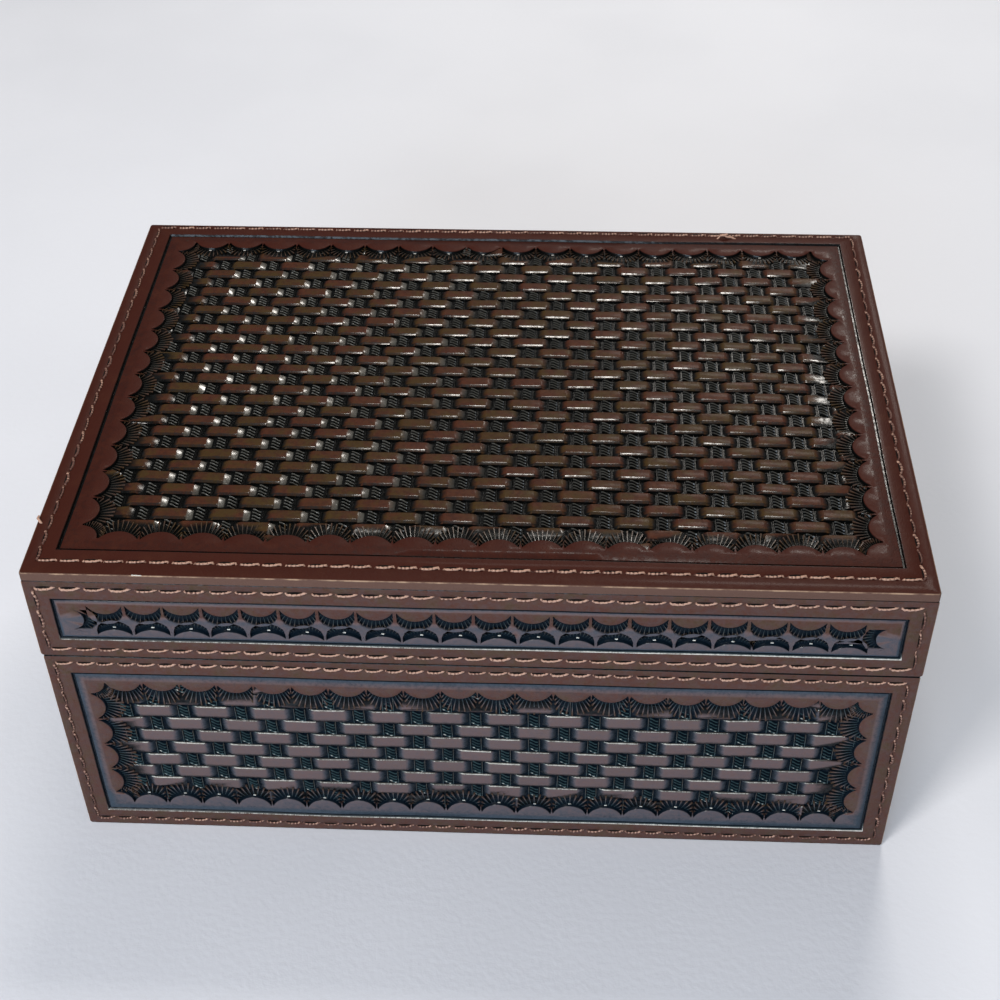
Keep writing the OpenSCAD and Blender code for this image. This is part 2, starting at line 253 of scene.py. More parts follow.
class Plan:
    """Where a panel's seams, lines and stamps lie, given in millimetres.

    stitch, line and field are insets from the panel's edge. shells, stitches, bars and rows
    are pitches, reach is the length of a fan, and skip is what the corners take of each side.
    The thread's darkness is given along the bottom, the right, the top and the left, and the
    painted cool reflection runs from 0, plain brown, to 1, mauve on the faces and slate by the
    lines, as the bluish floor and window would show, mostly on the walls.
    """

    def __init__(self, *, stitch, line, field, shells, reach, stitches, edge_r, soil_and_shade,
                 painted_reflection=1.0, low_rise=3.4, rise=3.4, shift=0.0, slide=0.0, skip=None,
                 bars=0.0, rows=0.0, start=(0, 0), lean=0.0, knots=(), nick=None):
        self.stitch = stitch * MM
        self.line = line * MM
        self.field = Vector(field) * MM
        self.shell_pitch = shells * MM
        self.reach = reach * MM
        self.stitch_pitch = stitches * MM
        self.edge_r = edge_r * MM
        self.soil_and_shade = soil_and_shade
        self.painted_reflection = painted_reflection
        self.rises = [height * MM for height in (low_rise, rise, rise, rise)]
        self.shift = shift * MM
        self.slide = slide * MM
        corner = CORNER_SHARE * shells
        self.skip = [length * MM for length in (skip or (corner, corner))]
        self.woven = bars > 0
        self.bar_pitch = bars * MM
        self.row_pitch = rows * MM
        self.weave_start = Vector([length * MM for length in start])
        self.weave_lean = lean
        self.knots = knots
        self.nick = nick


class Panel:
    """A flat leather panel of the frame, and how its tooling is laid out."""

    def __init__(self, node, outward, up, body, plan):
        self.node = node
        self.body = body
        self.plan = plan
        self.on_top = node == "lid_top_leather"
        outward, up = Vector(outward), Vector(up)
        right = up.cross(outward)
        low, high = (Vector(corner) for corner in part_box(node))
        size = high - low
        self.half_w = abs(size.dot(right)) / 2
        self.half_h = abs(size.dot(up)) / 2
        self.field_w = self.half_w - plan.field.x
        self.field_h = self.half_h - plan.field.y
        middle = (low + high) / 2 + outward * abs(size.dot(outward)) / 2
        axes = Matrix((right, up, outward)).transposed()
        self.place = Matrix.Translation(middle) @ axes.to_4x4()
        self.seed = Vector((rng.uniform(-50, 50), rng.uniform(-50, 50), 0))
        self.notches = []
        if node.endswith("back_leather"):
            self.notches = [f"{side}_hinge_{body}_leaf" for side in ("left", "right")]

    def edge(self, point):
        """How far a flat point lies from the panel's edge."""
        return min(self.half_w - abs(point.x), self.half_h - abs(point.y))

    def wander(self, point):
        """The drift of a hand-held tool, which dies away at the panel's edge."""
        sample = noise.noise_vector(point / WANDER_SPAN + self.seed)
        hold = clamp((self.edge(point) - self.plan.edge_r) / WANDER_HOLD) * HAND_WANDER
        return Vector((sample.x * hold, sample.y * hold, 0))


class Shell:
    """One shell stamp: the middle of its inner arc, that arc's radius, and which way it faces."""

    def __init__(self, centre, radius, facing, half_angle, reach, room):
        self.centre = centre
        self.radius = radius
        self.facing = facing
        self.half_angle = half_angle
        self.reach = reach
        self.room = room

    def flute_length(self, turn):
        """How far the fan reaches past the arc, in the room its neighbours leave."""
        length = self.reach * (0.2 + 0.8 * math.cos(1.46 * turn / self.half_angle))
        beside = abs(math.sin(turn))
        return min(length, self.room / beside - self.radius) if beside > 0.1 else length

    def outline(self, shrink, level, share=0.0):
        """Points along the arc, or this share of the way out to the fan's end."""
        for i in range(ARC_STEPS + 1):
            across = 1 - 2 * i / ARC_STEPS
            turn = self.half_angle * across
            radius = self.radius - shrink * (1 - across ** 6) + share * self.flute_length(turn)
            x, y = self.centre + radius * ray(self.facing + turn).xy
            yield Vector((x, y, level))

    def sees(self, point):
        """(distance past the inner arc, flute length there), or None beside the fan."""
        away = point - self.centre
        turn = (math.atan2(away.y, away.x) - self.facing + math.pi) % math.tau - math.pi
        if abs(turn) > self.half_angle:
            return None
        return away.length - self.radius, self.flute_length(turn)

    def in_row(self, after):
        """Whether the next shell stands beside this one, and not round a corner."""
        return abs(self.facing - after.facing) < 0.2

    def inward(self, after):
        """The way into the field, halfway between this shell and the next."""
        return ray((self.facing + after.facing) / 2)


def layout_shells(panel):
    """The shells round a panel's tooled field, anticlockwise from its lower left corner."""
    plan = panel.plan
    half_w, half_h = panel.field_w, panel.field_h
    corners = [(-half_w, -half_h), (half_w, -half_h), (half_w, half_h), (-half_w, half_h)]
    shells = []
    for side, (x, y) in enumerate(corners):
        corner = Vector((x, y + plan.shift))
        quarter = math.pi / 2 * side
        along = ray(quarter).xy
        inward = Vector((-along.y, along.x))
        if plan.woven:
            radius = plan.skip[0]
            shells.append(Shell(corner, radius, quarter + math.pi / 4, math.pi / 4,
                                CORNER_REACH * plan.reach, CORNER_ROOM * radius))
        skip = plan.skip[side % 2]
        span = 2 * (half_h if side % 2 else half_w) - 2 * skip
        count = max(1, round(span / plan.shell_pitch))
        pitch = span / count
        chord = BULGE_SHARE * pitch
        start = skip + (plan.slide if side % 2 == 0 else 0)
        for i in range(count):
            rise = plan.rises[side] * rng.uniform(0.94, 1.06)
            radius = (chord * chord / 4 + rise * rise) / (2 * rise)
            step = start + (i + 0.5) * pitch + rng.uniform(-0.12, 0.12) * MM
            centre = corner + along * step + inward * (rise - radius + rng.uniform(-0.2, 0.2) * MM)
            facing = quarter + math.pi / 2 + rng.uniform(-0.014, 0.014)
            shells.append(Shell(centre, radius, facing, math.asin(chord / 2 / radius),
                                plan.reach, pitch / 2 - FLUTE_GAP))
    return shells


def scallops(shells, shrink, level, share=0.0):
    """The shells' arcs in one ring, with a tongue of plain leather between neighbours."""
    ring = []
    for shell, after in neighbours(shells):
        ring += shell.outline(shrink, level, share)
        if shell.in_row(after):
            start = next(after.outline(0, level, share))
            ring.append((ring[-1] + start) / 2 + shell.inward(after) * (TONGUE - shrink))
    return ring


def draw_ring(shape, points):
    """The edges of a closed ring through these points."""
    corners = [shape.verts.new(point) for point in points]
    return [shape.edges.new(pair) for pair in neighbours(corners)]


def sink_ring(shape, edges, points, lower):
    """Extrudes a ring of edges that runs through these points, and moves it to the lower ones."""
    place = {point.to_tuple(): target for point, target in zip(points, lower)}
    made = bmesh.ops.extrude_edge_only(shape, edges=edges)["geom"]
    for part in made:
        if isinstance(part, bmesh.types.BMVert):
            part.co = place[part.co.to_tuple()]
    return [part for part in made if isinstance(part, bmesh.types.BMEdge)
            and all(corner.co.z == lower[0].z for corner in part.verts)]


def press_lines(shape, plan):
    """Presses the stitch channel and the bevelled line into the sheet, and opens its middle."""
    face = max(shape.faces, key=lambda side: side.calc_center_median().z)
    ramp = min(LINE_RAMP, min(plan.field) - plan.line - LINE_LIP - LINE_FLOOR - RAMP_CLEAR)
    steps = [
        (plan.stitch - CHANNEL_W / 2, 0),
        (CHANNEL_WALL, -CHANNEL_DEPTH),
        (CHANNEL_BED, -CHANNEL_DEPTH),
        (CHANNEL_WALL, 0),
        (plan.line - plan.stitch - CHANNEL_W / 2 - LINE_SHOULDER, 0),
        (LINE_SHOULDER, 0),
        (LINE_LIP, -LINE_DEPTH),
        (LINE_FLOOR, -LINE_DEPTH),
        (RAMP_FOOT, -RAMP_LOW),
        (ramp, 0),
    ]
    for number, (inset, level) in enumerate(steps):
        bmesh.ops.inset_region(shape, faces=[face], thickness=inset, use_even_offset=True)
        for corner in face.verts:
            corner.co.z = level
            corner.co.y += 0 if number else plan.shift
    bmesh.ops.delete(shape, geom=[face], context="FACES_ONLY")


def leather_sheet(panel, shells):
    """The panel's leather: its channel, its bevelled line, and a ground with a scalloped edge."""
    plan = panel.plan
    shape = bmesh.new()
    size = (2 * panel.half_w, 2 * panel.half_h, LEATHER_T)
    bmesh.ops.create_cube(shape, size=1, matrix=sized(size, (0, 0, -LEATHER_T / 2)))
    press_lines(shape, plan)
    for axis, length in ((0, 2 * panel.half_w), (1, 2 * panel.half_h)):
        runs = [edge for edge in shape.edges if max(v.co.z for v in edge.verts) > -LEATHER_T / 2
                and abs((edge.verts[0].co - edge.verts[1].co)[axis]) > panel.half_h / 2
                and abs((edge.verts[0].co - edge.verts[1].co)[1 - axis]) < MM]
        cuts = max(2, round(length / OUTLINE_STEP))
        bmesh.ops.subdivide_edges(shape, edges=runs, cuts=cuts)
    lip = [edge for edge in shape.edges if edge.is_boundary]
    drops = [(RIM_R, 0), (0.3 * RIM_R, -0.3 * RIM_R), (0, -RIM_R), (-0.35 * MM, -RELIEF)]
    if not plan.woven:
        drops += [(0, -0.92 * RELIEF, 0.85), (0, -0.04 * MM, 1)]
    rings = [scallops(shells, *drop) for drop in drops]
    edges = draw_ring(shape, rings[0])
    bmesh.ops.triangle_fill(shape, edges=lip + edges, use_beauty=True, normal=(0, 0, 1))
    for points, lower in zip(rings, rings[1:]):
        edges = sink_ring(shape, edges, points, lower)
    bmesh.ops.triangle_fill(shape, edges=edges, use_beauty=True, normal=(0, 0, 1))
    upright = [edge for edge in shape.edges if is_corner(panel, edge)]
    bmesh.ops.bevel(shape, geom=upright, offset=CORNER_R, segments=3, profile=0.5,
                    affect="EDGES", material=-1)
    rim = [edge for edge in shape.edges if edge.is_manifold and is_rim(edge)]
    bmesh.ops.bevel(shape, geom=rim, offset=plan.edge_r, segments=3, profile=0.5,
                    affect="EDGES", material=-1)
    bmesh.ops.recalc_face_normals(shape, faces=shape.faces)
    return shape


def is_corner(panel, edge):
    """Upright, at one of the panel's four corners."""
    a, b = (corner.co for corner in edge.verts)
    beside = abs(abs(a.x) - panel.half_w) < 1e-6 and abs(abs(a.y) - panel.half_h) < 1e-6
    return beside and abs(a.z - b.z) > LEATHER_T / 2


def is_rim(edge):
    """Between the leather's face and its cut edge."""
    upright = [abs(side.normal.z) < 0.1 for side in edge.link_faces]
    level = all(abs(corner.co.z) < 1e-7 for corner in edge.verts)
    deep = [min(corner.co.z for corner in side.verts) < -LEATHER_T / 2 for side in edge.link_faces]
    return level and any(upright) and not all(upright) and any(deep)


class Die:
    """A small closed shape that is stamped many times."""

    def __init__(self, shape):
        self.mesh = mesh_of("die", shape)

    def stamp(self, shape):
        """Adds the die's shape to this one, and gives the new corners."""
        first = len(shape.verts)
        shape.from_mesh(self.mesh)
        shape.verts.ensure_lookup_table()
        return shape.verts[first:]


def close_under(shape, depth):
    """Gives an open sheet its sides and a flat underside at this depth."""
    made = bmesh.ops.extrude_face_region(shape, geom=shape.faces[:], use_keep_orig=True)["geom"]
    for part in made:
        if isinstance(part, bmesh.types.BMVert):
            part.co.z = depth
    under = [part for part in made if isinstance(part, bmesh.types.BMFace)]
    bmesh.ops.dissolve_faces(shape, faces=under)
    bmesh.ops.recalc_face_normals(shape, faces=shape.faces)


def bar_die():
    """One strap of the weave: x and y from -1 to 1, and z its depth in millimetres."""
    shape = bmesh.new()
    columns, rows = len(BAR_ALONG) - 1, len(BAR_ACROSS) - 1
    bmesh.ops.create_grid(shape, x_segments=columns, y_segments=rows, size=1)
    for corner in shape.verts:
        x, end_drop = BAR_ALONG[round((corner.co.x + 1) / 2 * columns)]
        y, side_drop = BAR_ACROSS[round((corner.co.y + 1) / 2 * rows)]
        corner.co = (x, y, max(end_drop + side_drop, BAR_SKIRT))
    close_under(shape, BAR_UNDER)
    return Die(shape)


def ridge_die():
    """A ridge: x from 0 to 1, y from -1 to 1 and narrower above, and z from 0 to 1."""
    shape = bmesh.new()
    bmesh.ops.create_cube(shape, size=1, matrix=Matrix.Translation((0.5, 0, 0.5)))
    for corner in shape.verts:
        corner.co.y *= 0.8 if corner.co.z > 0.5 else 1.4
    return Die(shape)


def strand_die():
    """One turn of the stamp's twisted strand: x and y from -1 to 1, and crowned to z = 1."""
    shape = bmesh.new()
    bmesh.ops.create_grid(shape, x_segments=4, y_segments=2, size=1)
    for corner in shape.verts:
        corner.co.z = 1 - 0.3 * corner.co.x ** 2 - corner.co.y ** 2
    close_under(shape, -1)
    return Die(shape)


def lay_thread(shape, path, radius):
    """A twisted, slightly flat thread through the points of a path."""
    last = len(path) - 1
    rings = []
    for i, point in enumerate(path):
        heading = path[min(i + 1, last)] - path[max(i - 1, 0)]
        turn = Vector((0, 0, 1)).rotation_difference(heading).to_matrix().to_4x4()
        twist = Matrix.Rotation(i * STRAND_TWIST, 4, "Z")
        flat = Matrix.Diagonal((radius, STRAND_FLAT * radius, 1, 1))
        strand = twist @ flat @ twist.inverted()
        made = bmesh.ops.create_circle(shape, cap_ends=i in (0, last), segments=THREAD_SIDES,
                                       radius=1, matrix=Matrix.Translation(point) @ turn @ strand)
        edges = {edge for corner in made["verts"] for edge in corner.link_edges}
        rings.append(list(edges))
    for lower, upper in zip(rings, rings[1:]):
        bmesh.ops.bridge_loops(shape, edges=lower + upper)
    bmesh.ops.recalc_face_normals(shape, faces=shape.faces)


def stitch_die():
    """One stitch along x, a standard pitch long, from hole to hole."""
    shape = bmesh.new()
    path = [Vector((x, y + rng.uniform(-0.05, 0.05), z)) * MM for x, y, z in STITCH_PATH]
    lay_thread(shape, path, THREAD_R)
    return Die(shape)


def slit_and_shadow_die():
    """A dark lens beside the thread: the awl's slit, which a stitch bridges, with the painted
    shadow of the thread.
    """
    shape = bmesh.new()
    size = (2.3 * MM, 0.5 * MM, 0.36 * MM)
    bmesh.ops.create_cone(shape, cap_ends=True, segments=8, radius1=1, radius2=1, depth=1,
                          matrix=sized(size, Vector((3, 0.32, 0)) * MM))
    return Die(shape)


def settle(panel, shells, point):
    """How low the leather lies at a flat point, where a shell stamp or the border presses it."""
    x, y = abs(point.x), abs(point.y - panel.plan.shift)
    near = max(panel.plan.rises) + panel.plan.reach + MM
    if x < panel.field_w - near and y < panel.field_h - near:
        return 0.0
    if x > panel.field_w or y > panel.field_h:
        return -SUNK
    floor = 0.0
    flat = Vector((point.x, point.y))
    for shell in shells:
        if (flat - shell.centre).length < shell.radius:
            return -SUNK
        seen = shell.sees(flat)
        if seen and seen[0] < seen[1]:
            floor = min(floor, -0.95 * MM + 0.6 * MM * (seen[0] / seen[1]) ** 4)
    return floor


class Bench:
    """One panel under the stamps: its mesh, the layers that colour it, and the dies."""

    def __init__(self, panel, shells, shape, dies):
        self.panel = panel
        self.shells = shells
        self.shape = shape
        self.dies = dies
        names = ("dye", "tint", "painted_reflection", "polish_and_highlight", "wear", "wet")
        self.layers = [shape.verts.layers.float.new(name) for name in names]

    def colour(self, corner, *values):
        """Sets the layers, in their order; the ones not given stay at 0."""
        for layer, value in zip(self.layers, values):
            corner[layer] = value

    def floor(self, point, top):
        """The height of a stamp's mark that would stand at this top on bare leather."""
        return min(settle(self.panel, self.shells, point), top)

    def painted_glare(self, point):
        """1 at the left of the panel, where the painted highlight is strongest, and 0 past the
        middle.
        """
        return clamp((GLARE_FROM - point.x) / GLARE_SPAN)

    def bar(self, middle, tilt):
        """One strap of the weave, dark at its ends and sunk where a shell presses it, with painted
        shade along its lower edge and a painted highlight on its upper edge on the walls and on
        its right end on the left of the top.
        """
        plan, on_top = self.panel.plan, self.panel.on_top
        half = Vector(((plan.bar_pitch - ROPE_W) / 2 * rng.uniform(0.97, 1.02),
                       BAR_FILL * plan.row_pitch / 2 * rng.uniform(0.97, 1.03)))
        lean = Vector((rng.gauss(0, 0.05), rng.gauss(0, 0.06))) * MM
        tint = rng.uniform(0.25, 0.75)
        painted_highlight_and_nick = 0.0 if on_top else rng.uniform(*WALL_HIGHLIGHT)
        glare = TOP_GLARE * self.painted_glare(middle) * rng.uniform(0.7, 1.0) if on_top else 0.0
        inner = on_top and abs(middle.x) < self.panel.field_w - 0.6 * plan.bar_pitch
        for corner in self.dies["bar"].stamp(self.shape):
            s, t, depth = corner.co
            flat = middle + tilt @ Vector((s * half.x, t * half.y, 0))
            floor = settle(self.panel, self.shells, flat)
            level = depth * MM + (s * lean.x + t * lean.y if depth > -1 else 0)
            corner.co = flat + Vector((0, 0, max(min(level, floor), -SUNK)))
            stands = floor > -0.1 * MM
            pressed = clamp((abs(s) - 0.62) / 0.3)
            # Painted shade along the strap's lower long edge
            lower_edge_shade = 0.5 if t < -0.6 and depth > -0.5 else 0.0
            # Painted highlights: the right end on the left of the top, the upper edge on the walls
            polish_and_highlight = wet = 0.0
            if 0.68 < s < 0.98 and depth > -0.95:
                if stands and inner:
                    polish_and_highlight, wet = glare, 0.2
            elif abs(s) < 0.8 and stands:
                polish_and_highlight = painted_highlight_and_nick if 0.9 < t < 0.98 else 0.0
                wet = 1.0 if inner and t < -0.6 and -0.8 < depth < -0.05 else 0.0
            deep = max(0, -depth - 0.55) * 2.2 + max(0, -floor / MM - 0.1) * 2
            dye = max(0.75 * pressed, min(PRESSED, deep), lower_edge_shade)
            # The painted cool reflection grows towards the strap's ends
            self.colour(corner, dye, tint, plan.painted_reflection * (0.4 + 0.5 * pressed), polish_and_highlight, 0, wet)

    def ridge(self, start, end, widths, tops, dyes, polish_and_highlight):
        """A ridge from start to end, with its half width, top and dye at each."""
        along = end - start
        beside = Vector((-along.y, along.x, 0)).normalized()
        cool_reflection = self.panel.plan.painted_reflection
        for corner in self.dies["ridge"].stamp(self.shape):
            s, side, high = corner.co
            flat = start + along * s + beside * side * blend(widths, s)
            if high > 0.5:
                corner.co = flat + Vector((0, 0, blend(tops, s)))
                self.colour(corner, blend(dyes, s), 0.5, cool_reflection * (1 - s), polish_and_highlight)
            else:
                corner.co = flat + Vector((0, 0, -RIDGE_FOOT))
                self.colour(corner, PRESSED, 0.5, cool_reflection)

    def rope(self, middle, tilt):
        """The stamp's twisted strand between two straps, and the fine line at each side of it."""
        on_top, cool_reflection = self.panel.on_top, self.panel.plan.painted_reflection
        reach = 0.48 * self.panel.plan.row_pitch
        # On the walls the fine lines take the crest colour in full: a painted teal reflection
        line_top, dye, polish_and_highlight = (-0.6, 1.1, 0.2) if on_top else (-0.3, 0.6, 1.0)
        for side in (-1, 1):
            ends = [middle + tilt @ Vector((side * ROPE_EDGE, end * reach, 0)) for end in (-1, 1)]
            tops = [self.floor(flat, line_top * MM) for flat in ends]
            if min(tops) > -MM:
                self.ridge(*ends, (ROPE_LINE, ROPE_LINE), tops, (dye, dye), polish_and_highlight)
        # A painted highlight on the strands' crests, stronger on the left of the top
        shine = 1 + 0.3 * self.painted_glare(middle) if on_top else 1.0
        for i in range(ROPE_RIDGES):
            level = (i + 0.5) / ROPE_RIDGES * 2 * reach - reach
            core = middle + tilt @ Vector((0, level, 0))
            top = self.floor(core, rng.uniform(-0.25, -0.1) * MM)
            if top < -0.9 * MM:
                continue
            for corner in self.dies["strand"].stamp(self.shape):
                s, t, high = corner.co
                drop = ROPE_LEAN * math.sin(s * math.pi / 2)
                corner.co = core + tilt @ Vector((s * ROPE_CORE, t * ROPE_STRAND - drop, 0))
                corner.co.z = top - (1 - high) * ROPE_CROWN if high > -0.9 else -RIDGE_FOOT
                if high > 0.6:
                    # A painted highlight dot on the lowest strand on the walls
                    spot = i == 0 and abs(abs(s) - 0.5) < 0.1 and not on_top
                    self.colour(corner, 0.6, 0.5, cool_reflection, STRAND_HIGHLIGHT if spot else shine)
                else:
                    self.colour(corner, PRESSED, 0.5, cool_reflection)

    def fan(self, shell):
        """The fine ribs that fan out from a shell's inner arc."""
        centre = shell.centre.to_3d()
        pitch = 2 * shell.half_angle / FLUTES
        if self.panel.plan.woven:
            gap, tops, dyes = 0.4 * MM, (-0.8 * MM, -0.1 * MM), (0.7, 0)
        else:
            gap, tops, dyes = 0.9 * MM, (-0.9 * MM, -0.25 * MM), (0.9, 0.35)
        for i in range(FLUTES):
            turn = (i + 0.5) * pitch - shell.half_angle
            length = shell.flute_length(turn) * rng.uniform(0.95, 1.08)
            if length < SHORTEST_FLUTE:
                continue
            away = ray(shell.facing + turn)
            ends = shell.radius + gap, shell.radius + length
            widths = (0.14 * pitch * shell.radius, 0.27 * pitch * (shell.radius + length))
            self.ridge(*(centre + away * end for end in ends), widths, tops, dyes, 0.6)

    def seed(self, shell):
        """A small bright bump in the middle of the crescent: a painted highlight."""
        away = ray(shell.facing + rng.uniform(-0.05, 0.02))
        beside = Vector((away.y, -away.x, 0)) * 0.42 * MM
        middle = shell.centre.to_3d() + away * (shell.radius + 0.5 * MM)
        widths, tops = (0.3 * MM, 0.3 * MM), (-0.62 * MM, -0.62 * MM)
        self.ridge(middle - beside, middle + beside, widths, tops, (0, 0), SEED_HIGHLIGHT)

    def tongue(self, shell, after):
        """The plain leather left standing between two shells."""
        inward = shell.inward(after)
        ends = [*shell.outline(0, 0)][-1], next(after.outline(0, 0))
        root = (ends[0] + ends[1]) / 2 + inward * 0.2 * MM
        widths, tops = (0.3 * MM, 0.22 * MM), (-0.02 * MM, -0.2 * MM)
        self.ridge(root, root + inward * 2.6 * MM, widths, tops, (0.1, 0.2), 0)

    def weave(self):
        """Straps and twisted strands by turns along each row, half a pitch along from the last."""
        panel, plan = self.panel, self.panel.plan
        rows = math.ceil(panel.field_h / plan.row_pitch) + 1
        places = math.ceil(panel.field_w / plan.bar_pitch) * 2 + 3
        for row in range(-rows, rows + 1):
            row_lean = rng.gauss(0, 0.003)
            for i in range(-places, places + 1):
                up = row * plan.row_pitch + plan.weave_start.y
                across = i * plan.bar_pitch / 2 + plan.weave_start.x + plan.weave_lean * up
                middle = Vector((across + rng.gauss(0, 0.1) * MM, up + rng.gauss(0, 0.08) * MM, 0))
                tilt = Matrix.Rotation(rng.gauss(row_lean, 0.012), 3, "Z")
                if abs(middle.x) > panel.field_w + 0.25 * plan.bar_pitch:
                    continue
                if abs(middle.y - plan.shift) > panel.field_h:
                    continue
                if (i + row) % 2:
                    self.rope(middle, tilt)
                else:
                    self.bar(middle, tilt)

    def dye_sheet(self):
        """Dyes the sheet: dark where it is pressed, worn at open edges, with a painted cool
        reflection that turns slate by the line, and a painted highlight on the lower lip of the
        walls' line.
        """
        panel, plan, on_top = self.panel, self.panel.plan, self.panel.on_top
        near = 0.05 * MM
        line_at, ramp_end = plan.line + LINE_LIP, min(plan.field) - 0.2 * MM
        rim = 0.8 * plan.edge_r
        tint = 1.7 if on_top else 0.62
        for corner in self.shape.verts:
            x, y, z = corner.co
            flat = Vector((x, y - plan.shift))
            inset = panel.edge(flat)
            beside, beyond = panel.half_w - abs(x) < rim, panel.half_h - abs(y) < rim
            dye = wear = polish_and_highlight = 0.0
            # The walls take a faint painted cool reflection everywhere
            painted_reflection = 0.0 if on_top else 0.2
            if beside or beyond:
                lip = -0.9 * plan.edge_r < z < -0.05 * plan.edge_r
                wear = 1.0 if lip and (on_top or beside) else 0.5 if on_top and z < -rim else 0.0
                dye = 1.0 if beyond and not on_top else 0.0
            elif abs(inset - plan.stitch) < CHANNEL_W:
                dye = -0.2 * z / CHANNEL_DEPTH
            elif abs(inset - plan.line) < near:
                # The lower lip of a wall's line takes a painted highlight, brighter to the right
                low = flat.y < -panel.field_h and not on_top
                dye = 0.0 if low else 0.5
                polish_and_highlight = 1.75 + 0.3 * x / panel.half_w if low else 0.0
            elif line_at - near < inset < line_at + LINE_FLOOR + near:
                dye = painted_reflection = 1.0
            elif inset > line_at and z > -1.2 * MM:
                dye = 0.25 if inset < ramp_end - 0.3 * MM else clamp((-z - near) / (0.2 * MM))
                fade = max(0.2, (ramp_end - inset) / (ramp_end - line_at), dye)
                # Painted cool reflection, fading away from the line and stronger on the lower side
                painted_reflection = min(1, fade + (0.35 if flat.y < -panel.field_h + 4 * MM else 0))
                # The lid's field between its shell rows takes a middling painted reflection
                if not plan.woven and abs(flat.y) < panel.field_h - 4.3 * MM:
                    painted_reflection = 0.62
                if z < -0.9 * MM:
                    dye = PRESSED
            self.colour(corner, dye, tint, painted_reflection * plan.painted_reflection, polish_and_highlight, wear)


def mortise_block(panel):
    """What the hinge leaves need cut out of this panel's rim."""
    block = bmesh.new()
    for leaf in panel.notches:
        low, high = (Vector(corner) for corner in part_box(leaf))
        ends = (low.z, low.z + NOTCH_H)
        if panel.body == "lid":
            ends = (high.z - NOTCH_H, high.z)
        size = (high.x - low.x, NOTCH_CUT, ends[1] - ends[0])
        middle = ((low.x + high.x) / 2, (low.y + high.y) / 2, (ends[0] + ends[1]) / 2)
        bmesh.ops.create_cube(block, size=1, matrix=sized(size, middle))
    return block


def cut_mortises(panel, shape):
    """The panel with the notches for the hinge leaves cut out of its rim."""
    sheet = show("sheet", mesh_of("sheet", shape))
    block = show("block", mesh_of("block", mortise_block(panel)))
    sheet.data.transform(panel.place)
    if panel.notches:
        cut = sheet.modifiers.new("cut", "BOOLEAN")
        cut.operation = "DIFFERENCE"
        cut.solver = "EXACT"
        cut.object = block
    shape = bmesh.new()
    shape.from_object(sheet, bpy.context.evaluated_depsgraph_get())
    for piece in (sheet, block):
        mesh = piece.data
        bpy.data.objects.remove(piece)
        bpy.data.meshes.remove(mesh)
    shape.transform(panel.place.inverted())
    return shape


def tool_panel(panel, dies):
    """The whole tooled panel as one piece."""
    shells = layout_shells(panel)
    shape = cut_mortises(panel, leather_sheet(panel, shells))
    bench = Bench(panel, shells, shape, dies)
    bench.dye_sheet()
    if panel.plan.woven:
        bench.weave()
    # Only shells that face the light get the painted highlight bump
    lit_side = -1 if panel.on_top else 1
    for shell, after in neighbours(shells):
        bench.fan(shell)
        if panel.plan.woven and shell.in_row(after):
            bench.tongue(shell, after)
        if math.sin(shell.facing) * lit_side > 0.9:
            bench.seed(shell)
    if panel.plan.nick:
        ends = (Vector(point) * MM for point in panel.plan.nick)
        bench.ridge(*ends, (0.3 * MM, 0.2 * MM), (0.03 * MM, 0.03 * MM), (0, 0), NICK_GLEAM)
    for corner in shape.verts:
        corner.co += panel.wander(corner.co)
    shape.transform(panel.place)
    return shape


def seam_runs(panel):
    """The seam along the bottom, the right, the top and the left of a panel."""
    plan = panel.plan
    x, y = panel.half_w - plan.stitch, panel.half_h - plan.stitch
    low_left, low_right, high_right, high_left = (
        Vector((a * x, b * y + plan.shift, -CHANNEL_DEPTH / 2))
        for a, b in ((-1, -1), (1, -1), (1, 1), (-1, 1)))
    return ((low_left, low_right), (low_right, high_right), (high_left, high_right),
            (low_left, high_left))


def sew_panel(panel, stitches, slit_and_shadow):
    """The stitching round a panel: one twisted strand after another, from hole to hole."""
    shape = bmesh.new()
    soil_and_shade = shape.verts.layers.float.new("soil_and_shade")
    for (start, end), run_darkness in zip(seam_runs(panel), panel.plan.soil_and_shade):
        run = end - start
        count = round(run.length / panel.plan.stitch_pitch)
        pitch = run.length / count
        along = run.normalized()
        above = Vector((-along.y, along.x, 0))
        for i in range(count):
            foot = start + along * pitch * (i + rng.uniform(-0.04, 0.04))
            dirt_and_shade = run_darkness + rng.uniform(-0.2, 0.2)
            slack = rng.uniform(0.75, 1.25)
            phase = rng.uniform(0, math.tau)
            for die in (rng.choice(stitches), slit_and_shadow):
                for corner in die.stamp(shape):
                    s, t, high = corner.co
                    # The thread darkens towards both holes, is banded with painted light and shade
                    # along its twist, and has a painted highlight at its right end
                    hole_darkening = abs(2 * s / STITCH_PITCH - 1) ** 3
                    ply_light_and_shade = 0.45 * math.sin(math.tau * s / BEAD + phase)
                    corner[soil_and_shade] = dirt_and_shade + 0.15 + 0.3 * hole_darkening + ply_light_and_shade - 0.25 * (s > 4.3 * MM)
                    # The lens is the slit with the thread's painted shadow
                    if die is slit_and_shadow:
                        corner[soil_and_shade] = SLIT_AND_SHADOW_MARK
                        t *= 1.0 if along.x > 0.5 else UPRIGHT_SLIT
                    corner.co = foot + along * (s * pitch / STITCH_PITCH) + above * t * slack
                    corner.co.z += high
    for corner in shape.verts:
        corner.co += panel.wander(corner.co)
    for knot in panel.plan.knots:
        loose = bmesh.new()
        lay_thread(loose, [Vector(point) * MM for point in knot], THREAD_R)
        die = Die(loose)
        die.stamp(shape)
        bpy.data.meshes.remove(die.mesh)
    shape.transform(panel.place)
    return shape


